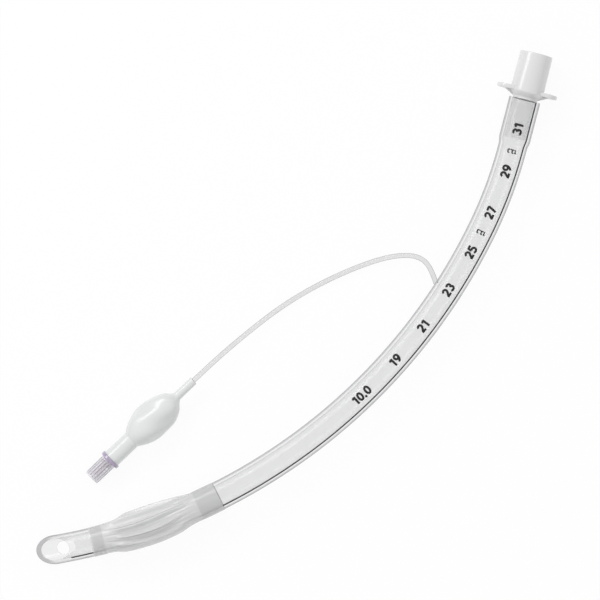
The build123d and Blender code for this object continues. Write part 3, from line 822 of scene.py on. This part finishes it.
# Darker grey-purple for the flutes' grooves: painted shade, not a different plastic.
valve_flute_painted_shade = moulded("valve_flute_painted_shade_abs", "948E9D", 0.2, alpha=0.6, grain=1.0, vary=0.02)
acetal = moulded("pink_acetal", "E6D2D9", 0.3, grain=1.0, depth=0.005)
rubber = moulded("pale_silicone", "E0CFD4", 0.5, grain=1.0, depth=0.01)
ink = moulded("pad_print_ink", "101012", 0.5, grain=0.5, depth=0.005)
steel = moulded("stainless_wire", "C9CACC", 0.25, grain=0.2, depth=0.005)
steel.node_tree.nodes["Principled BSDF"].inputs["Metallic"].default_value = 1.0


def wear(thing, material):
    """Make this the only material. The faces' slot numbers stay as they were."""
    if len(thing.data.materials):
        for place in range(len(thing.data.materials)):
            thing.data.materials[place] = material
    else:
        thing.data.materials.append(material)


tip_way = np.array([-math.cos(TIP_TURN), math.sin(TIP_TURN), 0.0])
fade_back(cut_pvc, tube_point(TUBE_LENGTH, 0.0, 0.0), tip_way, near=5.0, far=10.0, least=0.25)
wear(tube, clear_pvc)
tube.data.materials[CUT_FACE] = cut_pvc
tube.data.materials[BORE_FACE] = bore_pvc
wear(stripe, barium_pvc)
wear(cuff, film_pvc)
cuff.data.materials[1] = bonded_pvc
wear(balloon, milky_pvc)
wear(line, line_pvc)
wear(connector, frosted_pp)
# Faces behind the tube's end, the spigot, take that lighter copy as painted light against the tube's shade.
connector.data.materials.append(spigot_painted_light_pp)
middles = np.zeros(3 * len(connector.data.polygons), np.float32)
connector.data.polygons.foreach_get("center", middles)
connector.data.polygons.foreach_set("material_index", (middles[::3] < TUBE_END_X * MM).astype(np.int32))
wear(housing, valve_clear)
housing.data.materials[TINTED_FLANGE] = valve_tint
housing.data.materials[GROOVE_SHADE] = valve_flute_painted_shade
wear(spring, steel)
for mark in marks:
    wear(mark, ink)
CAD_LOOKS = {
    "valve_retainer": acetal, "valve_stem": acetal,
    "valve_seal": rubber,
}
for name, material in CAD_LOOKS.items():
    for place in nodes[name].material_slots:
        place.material = material
    print(name, "->", material.name)

# %% [markdown]
# ## Table, light and camera
#
# The table is white. A shared light level of about 1 makes each colour render as written: the world
# gives most of it, and one soft box at the upper left of the picture gives the bright streak along
# the tube. The level stands a little under 1, so that the pale pieces don't clip. The picture was
# taken looking straight down, with +X pointing 75.5 degrees above the picture's right, so the camera
# is turned by -75.5 degrees about Z.

# %% Table
# Metres. The picture's middle lies on the table at this x and y.
PICTURE_X, PICTURE_Y, PICTURE_TURN = -0.1355, 0.0763, math.radians(-75.5)
TABLE_X, TABLE_Y, TABLE_REACH = -0.1, 0.1, 2.0


def make_table():
    """One square, 4 m wide, at the height on which the tube lies."""
    mesh = bpy.data.meshes.new("table_top")
    signs = ((-1, -1), (1, -1), (1, 1), (-1, 1))
    corners = [(TABLE_X + a * TABLE_REACH, TABLE_Y + b * TABLE_REACH, TABLE_Z * MM) for a, b in signs]
    mesh.from_pydata(corners, [], [(0, 1, 2, 3)])
    thing = bpy.data.objects.new("table_top", mesh)
    bpy.context.scene.collection.objects.link(thing)
    return thing


def white_surface():
    """White laminate. Rays that draw the picture also see a white glow, so shadows stay faint."""
    made = bpy.data.materials.new("white_laminate")
    made.use_nodes = True
    tree = made.node_tree
    tree.nodes.clear()
    path = node(tree, "ShaderNodeLightPath")
    larger = {"operation": "MAXIMUM"}
    seen = node(tree, "ShaderNodeMath", larger, i0=(path, "Is Camera Ray"), i1=(path, "Is Glossy Ray"))
    seen = node(tree, "ShaderNodeMath", larger, i0=(seen, "Value"), i1=(path, "Is Transmission Ray"))
    part = node(tree, "ShaderNodeMath", {"operation": "MULTIPLY"}, i0=(seen, "Value"), i1=0.92)
    plain = node(tree, "ShaderNodeBsdfDiffuse", Color=(0.95, 0.95, 0.95, 1))
    glow = node(tree, "ShaderNodeEmission", Color=(1, 1, 1, 1), Strength=1.0)
    both = node(tree, "ShaderNodeMixShader", i0=(part, "Value"), i1=(plain, "BSDF"), i2=(glow, "Emission"))
    node(tree, "ShaderNodeOutputMaterial", Surface=(both, "Shader"))
    return made


table = make_table()
wear(table, white_surface())

# %% World and lamps
def make_world():
    """A plain studio: strength 0.3 at the horizon, rising to 0.84 high above, 3 t^2 - 2 t^3 in the height.
    Seen straight from the camera, past the table's end, it is white."""
    world = bpy.data.worlds.new("studio")
    world.use_nodes = True
    tree = world.node_tree
    tree.nodes.clear()
    where = node(tree, "ShaderNodeTexCoord")
    part = node(tree, "ShaderNodeSeparateXYZ", Vector=(where, "Generated"))
    level = node(tree, "ShaderNodeMapRange", {"interpolation_type": "SMOOTHSTEP"}, Value=(part, "Z"),
                 From_Min=0.0, From_Max=0.5, To_Min=0.3, To_Max=0.84)
    path = node(tree, "ShaderNodeLightPath")
    seen = node(tree, "ShaderNodeMath", {"operation": "MAXIMUM"},
                i0=(level, "Result"), i1=(path, "Is Camera Ray"))
    back = node(tree, "ShaderNodeBackground", Color=(1, 1, 1, 1), Strength=(seen, "Value"))
    node(tree, "ShaderNodeOutputWorld", Surface=(back, "Background"))
    bpy.context.scene.world = world


def soft_box(name, azimuth, height, distance, size, power):
    """Area lamp aimed at the middle of the object, from a direction in degrees."""
    a, e = math.radians(azimuth), math.radians(height)
    way = np.array([math.cos(a) * math.cos(e), math.sin(a) * math.cos(e), math.sin(e)])
    lamp = bpy.data.lights.new(name, "AREA")
    lamp.shape, lamp.size, lamp.size_y, lamp.energy = "RECTANGLE", size[0], size[1], power
    thing = bpy.data.objects.new(name, lamp)
    middle = np.array([PICTURE_X, PICTURE_Y, 0.0])
    thing.location = (middle + way * distance).tolist()
    thing.rotation_euler = (math.pi / 2 - e, 0, a + math.pi / 2)
    bpy.context.scene.collection.objects.link(thing)
    return thing


make_world()
soft_box("key_soft_box", 56, 38, 1.3, (1.0, 0.4), 5.5)
print("world and key lamp ready")

# %% Camera
def make_camera():
    """Looking straight down on the picture's middle. A 273.3 mm wide view at the tube's mid-height."""
    height, width = 2.0, 0.2733
    lens = bpy.data.cameras.new("overhead")
    lens.sensor_width = 36.0
    lens.lens = 36.0 * height / width
    lens.clip_start = 0.05
    thing = bpy.data.objects.new("overhead", lens)
    thing.location = (PICTURE_X, PICTURE_Y, height)
    thing.rotation_euler = (0, 0, PICTURE_TURN)
    bpy.context.scene.collection.objects.link(thing)
    bpy.context.scene.camera = thing


make_camera()
bpy.context.scene.view_settings.view_transform = "Standard"

# %% Update the view layer
bpy.context.view_layer.update()
